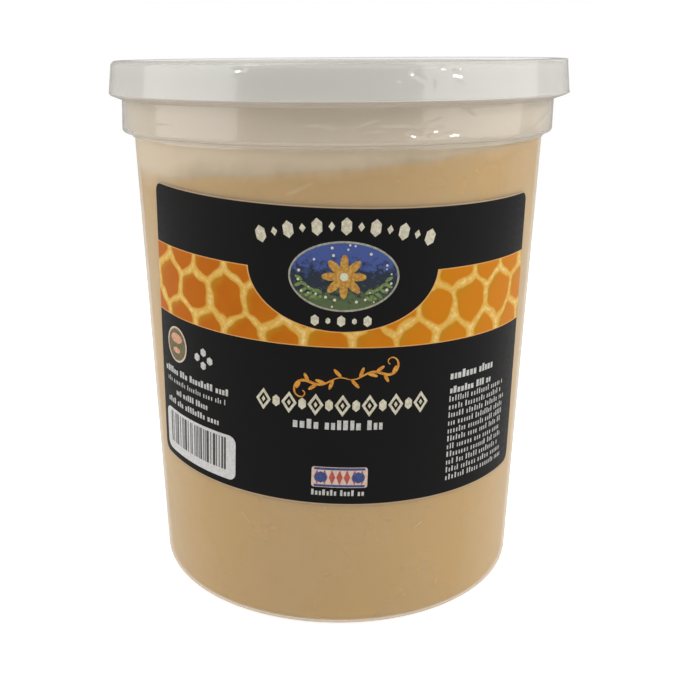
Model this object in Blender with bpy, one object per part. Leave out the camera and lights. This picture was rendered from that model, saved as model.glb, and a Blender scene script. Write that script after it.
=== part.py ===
"""A lidded, frosted plastic tub of creamed honey with a wrapped label and a clear shrink band.

The origin is the centre of the foot, +Z is up and -Y is the label's side. Lengths are in metres.
"""

import math

import bmesh
import bpy

MM = 0.001
SEGMENTS = 64

# Tub: a thin cup with a stacking shoulder below its rim
TAPER = math.radians(1.895)
BASE_RADIUS = 48.87 * MM
TUB_WALL = 0.9 * MM
BASE_CORNER = 3.4 * MM
FOOT_INNER_RADIUS = 44.0 * MM
FOOT_RECESS = 1.4 * MM
FOOT_SLOPE = 1.0 * MM
SHOULDER_RADIUS = 54.87 * MM
SHOULDER_BOTTOM = 119.9 * MM
SHOULDER_CORNER = 1.1 * MM
SHOULDER_FILLET = 0.3 * MM
RIM_RADIUS = 56.4 * MM
RIM_BOTTOM = 131.0 * MM
RIM_TOP = 135.1 * MM
RIM_EDGE = 0.7 * MM

# Lid: a skirt over the rim, and a panel sunk inside it
LID_WALL = 0.85 * MM
LID_TOP = 136.25 * MM
LID_TOP_RADIUS = 57.5 * MM
LID_EDGE = 1.0 * MM
LID_FILLET = 0.6 * MM
SKIRT_RADIUS = 58.3 * MM
SKIRT_BOTTOM = 128.8 * MM
SKIRT_CHAMFER = 0.3 * MM
SNAP_BEAD_RADIUS = 56.1 * MM
SNAP_BEAD_LOW = 130.05 * MM
SNAP_BEAD_HIGH = 131.05 * MM
PLUG_TOP_RADIUS = 52.6 * MM
PLUG_BOTTOM_RADIUS = 52.0 * MM
PANEL_TOP = 131.4 * MM
DISC_TOP = 132.4 * MM
DISC_RADIUS = 42.2 * MM

# Shrink band: clear film drawn over the lid's edge, its skirt and the shoulder
FILM = 0.25 * MM
BAND_TOP = 137.1 * MM
BAND_INNER_RADIUS = 54.2 * MM
BAND_TOP_RADIUS = 58.5 * MM
BAND_EDGE = 1.4 * MM
BAND_SKIRT_RADIUS = 59.3 * MM
BAND_SKIRT_BOTTOM = 128.7 * MM
BAND_SHOULDER_RADIUS = 55.75 * MM
BAND_SHOULDER_TOP = 127.1 * MM
BAND_CORNER = 1.6 * MM
BAND_CHAMFER = 0.5 * MM
BAND_UNDER = 119.35 * MM
BAND_FOOT_RADIUS = 53.45 * MM
BAND_FOOT_BEND = 0.3 * MM
BAND_BOTTOM = 118.4 * MM

# Honey: it fills the cup and has set on a slant, higher on the +X side
CLEARANCE = 0.3 * MM
HONEY_LEVEL = 114.5 * MM
HONEY_TILT_X = 0.088
HONEY_TILT_Y = 0.012
HONEY_RIPPLE = 0.45 * MM
HONEY_RIPPLE_X = 31.0 * MM
HONEY_RIPPLE_Y = 39.0 * MM
HONEY_TOP_RINGS = 6

# Label: round-cornered and a little wider at its foot, wrapped on the cone slightly askew
LABEL_WIDTH = 109.4 * MM
LABEL_SPREAD = 0.048
LABEL_BOW = 0.63 * MM
LABEL_LOW = 34.56 * MM
LABEL_HIGH = 106.42 * MM
LABEL_CORNER = 2.6 * MM
LABEL_THICKNESS = 0.3 * MM
LABEL_CENTRE_TURN = math.radians(1.295)
LABEL_SKEW = math.radians(-1.571)
LABEL_COLUMNS = 26


def clear_scene():
    for old in list(bpy.data.objects):
        bpy.data.objects.remove(old, do_unlink=True)


def principled(name, colour, roughness, alpha=1.0):
    """A plain material: colour is linear red, green and blue."""
    material = bpy.data.materials.new(name)
    material.use_nodes = True
    shader = material.node_tree.nodes["Principled BSDF"]
    shader.inputs["Base Color"].default_value = (*colour, 1.0)
    shader.inputs["Roughness"].default_value = roughness
    shader.inputs["Metallic"].default_value = 0.0
    shader.inputs["Alpha"].default_value = alpha
    return material


def arc(centre_r, centre_z, radius, start, end, steps):
    """Points on an arc in the profile's plane, with angles in radians from +R towards +Z."""
    turns = [start + (end - start) * i / steps for i in range(steps + 1)]
    return [(centre_r + radius * math.cos(t), centre_z + radius * math.sin(t)) for t in turns]


def wall_radius(height):
    """Outer radius of the tub's sloping wall at a height."""
    return BASE_RADIUS + height * math.tan(TAPER)


def corner_centre():
    """Centre of the base corner's arc, which touches the floor and the sloping wall."""
    return wall_radius(BASE_CORNER) - BASE_CORNER / math.cos(TAPER)


def cup_inside(inset, top):
    """The inside of the cup from the axis out and up its wall to a height, moved in by inset."""
    floor = FOOT_RECESS + TUB_WALL + inset
    ring_floor = TUB_WALL + inset
    corner = BASE_CORNER - TUB_WALL - inset
    ring_edge = FOOT_INNER_RADIUS - FOOT_SLOPE
    points = [(0.0, floor), (ring_edge, floor), (FOOT_INNER_RADIUS, ring_floor)]
    points += arc(corner_centre(), BASE_CORNER, corner, -math.pi / 2, -TAPER, 4)
    points.append((wall_radius(top) - (TUB_WALL + inset) / math.cos(TAPER), top))
    return points


def offset_path(path, distance):
    """The path moved to its right-hand side, towards the axis on a path that runs down."""
    moved = []
    for i, (r, z) in enumerate(path):
        before = path[max(i - 1, 0)]
        after = path[min(i + 1, len(path) - 1)]
        sides = []
        for start, end in ((before, (r, z)), ((r, z), after)):
            length = math.hypot(end[0] - start[0], end[1] - start[1])
            if length > 0.0:
                sides.append(((end[1] - start[1]) / length, (start[0] - end[0]) / length))
        normal_r = sum(s[0] for s in sides) / len(sides)
        normal_z = sum(s[1] for s in sides) / len(sides)
        stretch = distance / (normal_r**2 + normal_z**2)
        moved.append((r + normal_r * stretch, z + normal_z * stretch))
    return moved


def turned(name, profile, closed, material):
    """A profile turned about +Z. It runs down its outer side, and may start and end on the axis."""
    mesh = bpy.data.meshes.new(name)
    count = len(profile)
    edges = [(i, i + 1) for i in range(count - 1)]
    if closed:
        edges.append((count - 1, 0))
    mesh.from_pydata([(r, 0.0, z) for r, z in profile], edges, [])
    part = bpy.data.objects.new(name, mesh)
    bpy.context.scene.collection.objects.link(part)
    mesh.materials.append(material)
    screw = part.modifiers.new("Turn", "SCREW")
    screw.axis = "Z"
    screw.angle = 2 * math.pi
    screw.steps = SEGMENTS
    screw.render_steps = SEGMENTS
    screw.use_merge_vertices = True
    screw.merge_threshold = 0.00001
    screw.use_smooth_shade = True
    return part


def make_tub(material):
    shoulder_inside = SHOULDER_RADIUS - TUB_WALL
    profile = cup_inside(0.0, SHOULDER_BOTTOM + TUB_WALL / 2)
    profile += [
        (shoulder_inside, SHOULDER_BOTTOM + SHOULDER_CORNER),
        (shoulder_inside, RIM_TOP - RIM_EDGE),
        (shoulder_inside + RIM_EDGE * 0.5, RIM_TOP),
    ]
    profile += arc(RIM_RADIUS - RIM_EDGE, RIM_TOP - RIM_EDGE, RIM_EDGE, math.pi / 2, 0.0, 3)
    profile += [(RIM_RADIUS, RIM_BOTTOM + RIM_EDGE), (SHOULDER_RADIUS, RIM_BOTTOM)]
    corner_r = SHOULDER_RADIUS - SHOULDER_CORNER
    corner_z = SHOULDER_BOTTOM + SHOULDER_CORNER
    profile += arc(corner_r, corner_z, SHOULDER_CORNER, 0.0, -math.pi / 2, 4)
    under_shoulder = SHOULDER_BOTTOM - SHOULDER_FILLET
    profile.append((wall_radius(under_shoulder), under_shoulder))
    profile += arc(corner_centre(), BASE_CORNER, BASE_CORNER, -TAPER, -math.pi / 2, 5)
    profile += [
        (FOOT_INNER_RADIUS, 0.0),
        (FOOT_INNER_RADIUS - FOOT_SLOPE, FOOT_RECESS),
        (0.0, FOOT_RECESS),
    ]
    return turned("tub", profile, False, material)


def make_lid(material):
    step = DISC_TOP - PANEL_TOP
    underside = LID_TOP - LID_WALL
    skirt_inside = SKIRT_RADIUS - LID_WALL
    top_inside = LID_TOP_RADIUS - LID_WALL
    profile = [
        (0.0, DISC_TOP),
        (DISC_RADIUS, DISC_TOP),
        (DISC_RADIUS + step, PANEL_TOP),
        (PLUG_BOTTOM_RADIUS - LID_FILLET, PANEL_TOP),
        (PLUG_BOTTOM_RADIUS, PANEL_TOP + LID_FILLET),
        (PLUG_TOP_RADIUS, LID_TOP - LID_FILLET),
        (PLUG_TOP_RADIUS + LID_FILLET, LID_TOP),
    ]
    profile += arc(LID_TOP_RADIUS - LID_EDGE, LID_TOP - LID_EDGE, LID_EDGE, math.pi / 2, 0.0, 3)
    profile += [
        (SKIRT_RADIUS, SKIRT_BOTTOM + SKIRT_CHAMFER),
        (SKIRT_RADIUS - SKIRT_CHAMFER, SKIRT_BOTTOM),
        (skirt_inside, SKIRT_BOTTOM),
        (skirt_inside, SNAP_BEAD_LOW),
        (SNAP_BEAD_RADIUS, (SNAP_BEAD_LOW + SNAP_BEAD_HIGH) / 2),
        (skirt_inside, SNAP_BEAD_HIGH),
        (top_inside, underside - SKIRT_CHAMFER),
        (top_inside - SKIRT_CHAMFER, underside),
        (PLUG_TOP_RADIUS + LID_WALL, underside),
        (PLUG_BOTTOM_RADIUS + LID_WALL, PANEL_TOP),
        (PLUG_BOTTOM_RADIUS, PANEL_TOP - LID_WALL),
        (DISC_RADIUS + step, PANEL_TOP - LID_WALL),
        (DISC_RADIUS, DISC_TOP - LID_WALL),
        (0.0, DISC_TOP - LID_WALL),
    ]
    return turned("lid", profile, False, material)


def make_shrink_band(material):
    outside = [(BAND_INNER_RADIUS, BAND_TOP)]
    edge_r = BAND_TOP_RADIUS - BAND_EDGE
    outside += arc(edge_r, BAND_TOP - BAND_EDGE, BAND_EDGE, math.pi / 2, 0.0, 3)
    outside += [
        (BAND_SKIRT_RADIUS, BAND_SKIRT_BOTTOM),
        (BAND_SKIRT_RADIUS - BAND_CHAMFER, BAND_SKIRT_BOTTOM - BAND_CHAMFER),
        (BAND_SHOULDER_RADIUS, BAND_SHOULDER_TOP),
    ]
    corner_r = BAND_SHOULDER_RADIUS - BAND_CORNER
    corner_z = BAND_UNDER + BAND_CORNER
    outside += arc(corner_r, corner_z, BAND_CORNER, 0.0, -math.pi / 2, 3)
    outside += [
        (BAND_FOOT_RADIUS + BAND_FOOT_BEND, BAND_UNDER),
        (BAND_FOOT_RADIUS, BAND_UNDER - BAND_FOOT_BEND),
        (BAND_FOOT_RADIUS, BAND_BOTTOM),
    ]
    profile = outside + offset_path(outside, FILM)[::-1]
    return turned("shrink_band", profile, True, material)


def honey_rise(x, y):
    """How far the honey's top lies above its mean level at a place."""
    turn_x = x / HONEY_RIPPLE_X * 2 * math.pi
    turn_y = y / HONEY_RIPPLE_Y * 2 * math.pi
    ripple = HONEY_RIPPLE * math.sin(turn_x) * math.cos(turn_y)
    return x * HONEY_TILT_X + y * HONEY_TILT_Y + ripple


def make_honey(material):
    """Spun from its profile, then its top is tilted and rippled."""
    side = cup_inside(CLEARANCE, HONEY_LEVEL)
    edge_radius = side[-1][0]
    rings = range(HONEY_TOP_RINGS - 1, -1, -1)
    top = [(edge_radius * i / HONEY_TOP_RINGS, HONEY_LEVEL) for i in rings]
    shape = bmesh.new()
    points = [shape.verts.new((r, 0.0, z)) for r, z in side + top]
    edges = [shape.edges.new(pair) for pair in zip(points, points[1:])]
    bmesh.ops.spin(
        shape,
        geom=points + edges,
        cent=(0.0, 0.0, 0.0),
        axis=(0.0, 0.0, 1.0),
        angle=2 * math.pi,
        steps=SEGMENTS,
        use_merge=True,
    )
    bmesh.ops.remove_doubles(shape, verts=shape.verts, dist=0.00001)
    for point in shape.verts:
        if point.co.z > HONEY_LEVEL - CLEARANCE:
            rise = honey_rise(point.co.x, point.co.y)
            widening = 1 + rise * math.tan(TAPER) / edge_radius
            point.co.x *= widening
            point.co.y *= widening
            point.co.z += rise
    bmesh.ops.recalc_face_normals(shape, faces=shape.faces)
    bmesh.ops.triangulate(shape, faces=shape.faces)
    return finish_mesh("honey", shape, material)


def finish_mesh(name, shape, material):
    mesh = bpy.data.meshes.new(name)
    shape.to_mesh(mesh)
    shape.free()
    mesh.materials.append(material)
    mesh.shade_smooth()
    mesh.set_sharp_from_angle(angle=math.radians(35))
    part = bpy.data.objects.new(name, mesh)
    bpy.context.scene.collection.objects.link(part)
    return part


def on_cone(across, along, lift):
    """A point of the label, which widens downwards and rises at its ends, on the tub's wall."""
    apex = BASE_RADIUS / math.sin(TAPER)
    middle = (LABEL_LOW + LABEL_HIGH) / 2
    up = along - middle
    spread = 1 - LABEL_SPREAD * up / (LABEL_HIGH - LABEL_LOW)
    up += LABEL_BOW * (2 * across / LABEL_WIDTH) ** 2
    across *= spread
    x = across * math.cos(LABEL_SKEW) - up * math.sin(LABEL_SKEW)
    y = across * math.sin(LABEL_SKEW) + up * math.cos(LABEL_SKEW) + middle + apex
    reach = math.hypot(x, y)
    turn = math.atan2(x, y) / math.sin(TAPER) + LABEL_CENTRE_TURN
    radius = reach * math.sin(TAPER) + lift
    height = (reach - apex) * math.cos(TAPER)
    return (radius * math.sin(turn), -radius * math.cos(turn), height)


def label_columns():
    """Places across the label with how far its round corners cut in there."""
    half = LABEL_WIDTH / 2
    corner = [
        (half - LABEL_CORNER + LABEL_CORNER * math.sin(t), LABEL_CORNER * (1 - math.cos(t)))
        for t in (math.radians(step) for step in (0, 25, 50, 70, 85))
    ]
    straight = half - LABEL_CORNER
    middle = [
        (straight * (2 * i / LABEL_COLUMNS - 1), 0.0) for i in range(1, LABEL_COLUMNS)
    ]
    left = [(-across, cut) for across, cut in reversed(corner)]
    return left + middle + corner


def make_label(material):
    """Columns of four corners, inner and outer, joined to the next column all round."""
    shape = bmesh.new()
    inner = CLEARANCE
    outer = CLEARANCE + LABEL_THICKNESS
    rows = []
    for across, cut in label_columns():
        low, high = LABEL_LOW + cut, LABEL_HIGH - cut
        places = ((low, inner), (low, outer), (high, outer), (high, inner))
        rows.append([shape.verts.new(on_cone(across, along, lift)) for along, lift in places])
    for here, there in zip(rows, rows[1:]):
        for i in range(4):
            j = (i + 1) % 4
            shape.faces.new((here[i], there[i], there[j], here[j]))
    shape.faces.new(rows[0])
    shape.faces.new(rows[-1])
    bmesh.ops.triangulate(shape, faces=shape.faces)
    bmesh.ops.recalc_face_normals(shape, faces=shape.faces)
    return finish_mesh("label", shape, material)


def main():
    clear_scene()
    make_tub(principled("Frosted polypropylene", (0.66, 0.62, 0.53), 0.4, 0.5))
    make_lid(principled("White polyethylene", (0.70, 0.70, 0.67), 0.4))
    make_honey(principled("Creamed honey", (0.47, 0.31, 0.13), 0.5))
    make_label(principled("Printed label film", (0.013, 0.013, 0.012), 0.45))
    make_shrink_band(principled("Clear shrink film", (0.9, 0.9, 0.9), 0.1, 0.15))


main()
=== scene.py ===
import math
import random

import bpy
from mathutils import Matrix, Vector, noise


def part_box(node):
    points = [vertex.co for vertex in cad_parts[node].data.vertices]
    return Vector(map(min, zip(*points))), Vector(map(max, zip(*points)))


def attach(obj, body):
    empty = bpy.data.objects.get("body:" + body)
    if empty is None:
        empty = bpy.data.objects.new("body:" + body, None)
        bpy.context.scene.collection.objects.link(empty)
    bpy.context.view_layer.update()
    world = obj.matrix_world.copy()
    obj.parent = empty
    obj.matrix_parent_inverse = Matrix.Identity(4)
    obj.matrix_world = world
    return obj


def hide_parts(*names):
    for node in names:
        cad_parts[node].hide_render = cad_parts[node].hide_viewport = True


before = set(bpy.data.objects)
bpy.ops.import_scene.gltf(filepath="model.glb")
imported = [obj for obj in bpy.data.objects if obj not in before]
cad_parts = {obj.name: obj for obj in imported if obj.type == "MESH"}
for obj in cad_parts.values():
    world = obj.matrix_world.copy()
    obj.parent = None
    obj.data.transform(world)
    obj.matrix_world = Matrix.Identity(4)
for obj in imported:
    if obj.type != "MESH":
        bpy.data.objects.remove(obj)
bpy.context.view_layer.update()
mm = 0.001

# A tub of creamed honey: frosted cup, white lid, black wrapped label, clear tamper film.
# Lengths are in metres, and a name's value in mm is multiplied by mm where it is set.


def hexColour(code):  # sRGB hex to linear, as sockets want it
    levels = [int(code[i:i + 2], 16) / 255 for i in (1, 3, 5)]
    linear = [v / 12.92 if v <= 0.04045 else ((v + 0.055) / 1.055) ** 2.4 for v in levels]
    return (*linear, 1.0)


def addNode(tree, kind, settings=None, links=None):  # a node in links stands for its first output
    made = tree.nodes.new("ShaderNode" + kind)
    for key, value in (settings or {}).items():
        if isinstance(key, int) or key in made.inputs:
            made.inputs[key].default_value = value
        else:
            setattr(made, key, value)
    for key, source in (links or {}).items():
        output = source.outputs[0] if isinstance(source, bpy.types.Node) else source
        tree.links.new(output, made.inputs[key])
    return made


# Map Range eased at both ends: input 0 is the value, 1 and 2 the range it reads, 3 and 4 the one it gives
smoothStep = {"interpolation_type": "SMOOTHSTEP"}
colourMix = {"data_type": "RGBA"}  # Mix for colours: inputs 6 and 7, output 2


def newMaterial(name, settings):  # a Principled surface, ready for patterns
    material = bpy.data.materials.new(name)
    material.use_nodes = True
    tree = material.node_tree
    shader = tree.nodes["Principled BSDF"]
    for key, value in settings.items():
        shader.inputs[key].default_value = value
    return material, tree, shader


def deselect():
    if bpy.context.mode != "OBJECT":
        bpy.ops.object.mode_set(mode="OBJECT")
    bpy.ops.object.select_all(action="DESELECT")


def applyModifier(piece, kind, settings):
    modifier = piece.modifiers.new(kind.title(), kind)
    for key, value in settings.items():
        setattr(modifier, key, value)
    bpy.context.view_layer.objects.active = piece
    bpy.ops.object.modifier_apply(modifier=modifier.name)


def smooth(piece, angle=35):
    deselect()
    piece.select_set(True)
    bpy.context.view_layer.objects.active = piece
    bpy.ops.object.shade_smooth_by_angle(angle=math.radians(angle))


def finishPiece(piece, name, material, node=None):
    piece.name = name
    piece.data.name = name
    piece.data.materials.clear()
    piece.data.materials.append(material)
    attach(piece, "root")
    if node:
        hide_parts(node)
    return piece


def arc(centreR, centreZ, radius, start, end, steps):  # degrees, from outwards towards up
    turns = [math.radians(start + (end - start) * i / steps) for i in range(steps + 1)]
    return [(centreR + radius * math.cos(t), centreZ + radius * math.sin(t)) for t in turns]


def drawPath(points):  # one vertex, pulled out point by point as by hand
    deselect()
    bpy.ops.mesh.primitive_plane_add(size=mm, location=(0, 0, 0))
    piece = bpy.context.object
    bpy.ops.object.mode_set(mode="EDIT")
    bpy.ops.mesh.select_all(action="SELECT")
    bpy.ops.mesh.merge(type="CENTER")
    bpy.ops.transform.translate(value=(points[0][0], 0, points[0][1]))
    for (r0, z0), (r1, z1) in zip(points, points[1:]):
        bpy.ops.mesh.extrude_region_move(TRANSFORM_OT_translate={"value": (r1 - r0, 0, z1 - z0)})
    bpy.ops.object.mode_set(mode="OBJECT")
    return piece


def turnPath(points, steps, wall=0.0):  # spun about the tub's axis, then thickened inwards
    piece = drawPath(points)
    bpy.ops.object.mode_set(mode="EDIT")
    bpy.ops.mesh.select_all(action="SELECT")
    bpy.ops.mesh.spin(steps=steps, angle=2 * math.pi, center=(0, 0, 0), axis=(0, 0, 1))
    bpy.ops.mesh.select_all(action="SELECT")
    bpy.ops.mesh.remove_doubles(threshold=0.01 * mm)
    bpy.ops.mesh.normals_make_consistent(inside=False)
    bpy.ops.object.mode_set(mode="OBJECT")
    if wall:
        applyModifier(piece, "SOLIDIFY", {"thickness": wall, "offset": -1, "use_even_offset": True})
    return piece


# Camera: the photo's place, turn and framing, from the fit of the tub's outline
camera = {
    "place": (0.0, -266.7 * mm, 139.4 * mm),
    "down": 16.374,
    "left": 1.406,
    "roll": -0.208,
    "lens": 52.43,
    "shift": 0.0387,
}


def makeCamera():
    data = bpy.data.cameras.new("photoCamera")
    data.lens = camera["lens"]
    data.sensor_width = 36
    data.shift_x = camera["shift"]
    data.clip_start = 0.01
    holder = bpy.data.objects.new("photoCamera", data)
    bpy.context.scene.collection.objects.link(holder)
    turn = (
        Matrix.Rotation(math.radians(camera["left"]), 4, "Z")
        @ Matrix.Rotation(math.radians(90 - camera["down"]), 4, "X")
        @ Matrix.Rotation(math.radians(camera["roll"]), 4, "Z")
    )
    holder.matrix_world = Matrix.Translation(camera["place"]) @ turn
    bpy.context.scene.camera = holder


# Light: soft boxes round the front, stronger at both sides, and a bright room behind
lights = {
    "leftBox": {"place": (-0.674, -0.168, 0.351), "size": (0.8, 0.7), "watts": 3.3},
    "rightBox": {"place": (0.668, -0.192, 0.351), "size": (1.0, 0.7), "watts": 3.5},
    "topBox": {"place": (0.0, -0.109, 0.842), "size": (0.9, 0.9), "watts": 2.2},
    "rightLamp": {"place": (0.435, -0.34, 0.551), "size": (0.16, 0.06), "watts": 0.85},
    "leftLamp": {"place": (-0.39, -0.39, 0.551), "size": (0.06, 0.06), "watts": 0.3},
}
studio = {"front": 0.11, "back": 0.6, "below": 0.3}  # grey of the room on each side of the tub


def makeLights():
    aim = Vector((0, 0, 70 * mm))
    for name, values in lights.items():
        data = bpy.data.lights.new(name, "AREA")
        data.shape = "RECTANGLE"
        data.size, data.size_y = values["size"]
        data.energy = values["watts"]
        lamp = bpy.data.objects.new(name, data)
        bpy.context.scene.collection.objects.link(lamp)
        lamp.location = values["place"]
        lamp.rotation_euler = (aim - lamp.location).to_track_quat("-Z", "Y").to_euler()
    world = bpy.data.worlds.new("studio")
    world.use_nodes = True
    tree = world.node_tree
    glow = tree.nodes["Background"]
    glow.inputs["Color"].default_value = (1, 1, 1, 1)
    facing = addNode(tree, "TexCoord")
    axes = addNode(tree, "SeparateXYZ", {}, {0: facing.outputs["Generated"]})
    around = addNode(tree, "MapRange", {**smoothStep, 1: 0.1, 2: 0.9, 3: studio["front"],
                     4: studio["back"]}, {0: axes.outputs["Y"]})
    under = addNode(tree, "MapRange", {**smoothStep, 1: 0.0, 2: -0.1}, {0: axes.outputs["Z"]})
    level = addNode(tree, "Mix", {3: studio["below"]}, {0: under, 2: around})
    tree.links.new(level.outputs[0], glow.inputs["Strength"])
    backdrop = addNode(tree, "Background", {"Color": (1, 1, 1, 1), "Strength": 1.0})
    seen = addNode(tree, "LightPath")
    both = addNode(tree, "MixShader", {}, {"Fac": seen, 1: glow, 2: backdrop})
    tree.links.new(both.outputs["Shader"], tree.nodes["World Output"].inputs["Surface"])
    bpy.context.scene.world = world
    bpy.context.scene.view_settings.view_transform = "Standard"
    bpy.context.scene.cycles.transparent_max_bounces = 24


floor = {  # a pale light table that fades out into the white backdrop
    "size": 4.0,
    "colour": "#D2D2D1",
    "glow": 0.72,  # as the camera sees it
    "given": 0.36,  # as it lights the tub
    "solid": 0.35,
    "gone": 0.95,
}


def makeFloor():
    deselect()
    bpy.ops.mesh.primitive_plane_add(size=floor["size"], location=(0, 0, 0))
    piece = bpy.context.object
    piece.name = "floor"
    material, tree, shader = newMaterial("paleStudioFloor", {
        "Base Color": hexColour(floor["colour"]), "Roughness": 0.8, "Specular IOR Level": 0.1,
        "Emission Color": (1, 1, 1, 1)})
    seen = addNode(tree, "LightPath")
    bright = addNode(tree, "Mix", {2: floor["given"], 3: floor["glow"]}, {0: seen})
    tree.links.new(bright.outputs[0], shader.inputs["Emission Strength"])
    onPiece = addNode(tree, "TexCoord").outputs["Object"]
    far = addNode(tree, "VectorMath", {"operation": "LENGTH"}, {0: onPiece})
    cover = addNode(tree, "MapRange", {**smoothStep, 1: floor["solid"], 2: floor["gone"], 3: 1.0, 4: 0.0},
                    {0: far.outputs["Value"]})
    tree.links.new(cover.outputs["Result"], shader.inputs["Alpha"])
    piece.data.materials.append(material)


# The cup: sides that slope 1.9 degrees, a round base corner and a wider shoulder under the lid
cup = {
    "baseRadius": 48.87 * mm,
    "taper": math.radians(1.895),
    "wall": 0.9 * mm,
    "corner": 3.4 * mm,
    "footInner": 44.0 * mm,
    "footSlope": 1.0 * mm,
    "recess": 1.4 * mm,
    "shoulderRadius": 54.87 * mm,
    "shoulderBottom": 119.9 * mm,
    "shoulderCorner": 1.1 * mm,
    "rimRadius": 56.4 * mm,
    "rimBottom": 131.0 * mm,
    "steps": 180,
}
cup["rimTop"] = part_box("tub")[1].z


def wallRadius(height):
    return cup["baseRadius"] + height * math.tan(cup["taper"])


def cornerCentre():
    return wallRadius(cup["corner"]) - cup["corner"] / math.cos(cup["taper"])


# The honey: set on a slant, higher at +X, and pushed a quarter of a mm into the wall
honey = {
    "level": 114.5 * mm,
    "tiltX": 0.088,
    "tiltY": 0.012,
    "ripple": 0.45 * mm,
    "rippleX": 31.0 * mm,
    "rippleY": 39.0 * mm,
    "intoWall": 0.25 * mm,
    "rings": 40,
}

scuffs = [  # turn from the front, height, half length, half width in mm, and slant in degrees
    (-9.0, 110.2, 4.6, 0.8, 24.0), (-26.5, 28.0, 3.6, 0.4, -48.0), (-3.0, 33.2, 0.9, 0.25, 80.0),
    (24.0, 27.0, 2.2, 0.3, 35.0), (150.0, 62.0, 5.0, 0.4, 20.0),
]
scuffReach = 6 * mm  # how deep a scuff's ellipsoid goes, past the wall's curve


def scuffCover(tree, onPiece):  # pale rubbed streaks on the outside of the wall
    total = None
    for turn, height, length, width, slant in scuffs:
        around = math.radians(turn)
        radius = wallRadius(height * mm)
        place = addNode(tree, "Mapping", {"vector_type": "TEXTURE",
                        "Location": (radius * math.sin(around), -radius * math.cos(around), height * mm),
                        "Rotation": (0, math.radians(-slant), around),
                        "Scale": (length * mm, scuffReach, width * mm)}, {"Vector": onPiece})
        far = addNode(tree, "VectorMath", {"operation": "LENGTH"}, {0: place})
        streak = addNode(tree, "MapRange", {**smoothStep, 1: 1.0, 2: 0.2}, {0: far.outputs["Value"]})
        if total is not None:
            streak = addNode(tree, "Math", {"operation": "MAXIMUM"}, {0: total, 1: streak})
        total = streak
    return total


def frostedPolypropylene():  # milky: clearer where honey wets its inside, whiter above and at its edges
    look = {"milk": "#E8DCC6", "dryMilk": "#F7EAD3", "clearFacing": 0.68, "clearEdge": 0.32, "dry": 0.37,
            "dryFrom": -3 * mm, "dryTo": 5 * mm, "uneven": 2 * mm, "cloud": 0.03, "scuff": 0.14,
            "glow": 0.35, "roughness": 0.3}
    material, tree, shader = newMaterial("mouldedPolypropyleneFrosted", {
        "Roughness": look["roughness"], "IOR": 1.49})
    onPiece = addNode(tree, "TexCoord").outputs["Object"]
    haze = addNode(tree, "TexNoise", {"Scale": 35.0, "Detail": 4.0, "Roughness": 0.6},
                   {"Vector": onPiece})
    level = addNode(tree, "VectorMath", {"operation": "DOT_PRODUCT",
                    1: (-honey["tiltX"], -honey["tiltY"], 1)}, {0: onPiece})
    uneven = addNode(tree, "MapRange", {**smoothStep, 1: 0.3, 2: 0.7, 3: -honey["level"] - look["uneven"],
                     4: -honey["level"] + look["uneven"]}, {0: haze})
    above = addNode(tree, "Math", {"operation": "ADD"}, {0: level.outputs["Value"], 1: uneven})
    dry = addNode(tree, "MapRange", {**smoothStep, 1: look["dryFrom"], 2: look["dryTo"]}, {0: above})
    milk = addNode(tree, "Mix", {**colourMix, 6: hexColour(look["milk"]), 7: hexColour(look["dryMilk"])},
                   {0: dry}).outputs[2]
    tree.links.new(milk, shader.inputs["Base Color"])
    edge = addNode(tree, "LayerWeight", {"Blend": 0.5})
    through = addNode(tree, "MapRange", {"From Min": 0.4, "From Max": 1.0, "To Min": look["clearFacing"],
                      "To Max": look["clearEdge"]}, {0: edge.outputs["Facing"]})
    cloudy = addNode(tree, "MapRange", {**smoothStep, 1: 0.3, 2: 0.7, 3: -look["cloud"],
                     4: look["cloud"]}, {0: haze})
    seenThrough = addNode(tree, "Math", {"operation": "ADD"}, {0: through, 1: cloudy})
    lostDry = addNode(tree, "Math", {"operation": "MULTIPLY", 1: look["dry"]}, {0: dry})
    lostScuffs = addNode(tree, "Math", {"operation": "MULTIPLY", 1: look["scuff"]},
                         {0: scuffCover(tree, onPiece)})
    lost = addNode(tree, "Math", {"operation": "ADD"}, {0: lostDry, 1: lostScuffs})
    clearness = addNode(tree, "Math", {"operation": "SUBTRACT"}, {0: seenThrough, 1: lost})
    glow = addNode(tree, "BsdfTranslucent", {}, {"Color": milk})
    body = addNode(tree, "MixShader", {"Fac": look["glow"]}, {1: shader, 2: glow})
    clear = addNode(tree, "BsdfTransparent")
    mixed = addNode(tree, "MixShader", {}, {"Fac": clearness, 1: body, 2: clear})
    tree.links.new(mixed.outputs["Shader"], tree.nodes["Material Output"].inputs["Surface"])
    return material


def makeCup():
    slopeFoot = cup["footInner"] - cup["footSlope"]
    shoulderR = cup["shoulderRadius"]
    corner = cup["shoulderCorner"]
    underShoulder = cup["shoulderBottom"] - 0.3 * mm
    path = [(shoulderR - 0.5 * mm, cup["rimTop"]), (cup["rimRadius"] - 0.7 * mm, cup["rimTop"])]
    path += arc(cup["rimRadius"] - 0.7 * mm, cup["rimTop"] - 0.7 * mm, 0.7 * mm, 60, 0, 2)
    path += [(cup["rimRadius"], cup["rimBottom"] + 0.7 * mm), (shoulderR, cup["rimBottom"])]
    path += arc(shoulderR - corner, cup["shoulderBottom"] + corner, corner, 0, -90, 8)
    path += [(wallRadius(underShoulder), underShoulder)]
    path += [(wallRadius(z), z) for z in (100 * mm, 60 * mm, 25 * mm)]
    path += arc(cornerCentre(), cup["corner"], cup["corner"], -1.9, -90, 10)
    path += [(cup["footInner"], 0), (slopeFoot, cup["recess"]), (20 * mm, cup["recess"]),
             (0, cup["recess"])]
    piece = turnPath(path, cup["steps"], cup["wall"])
    smooth(piece)
    return finishPiece(piece, "frostedCup", frostedPolypropylene(), "tub")


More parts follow.
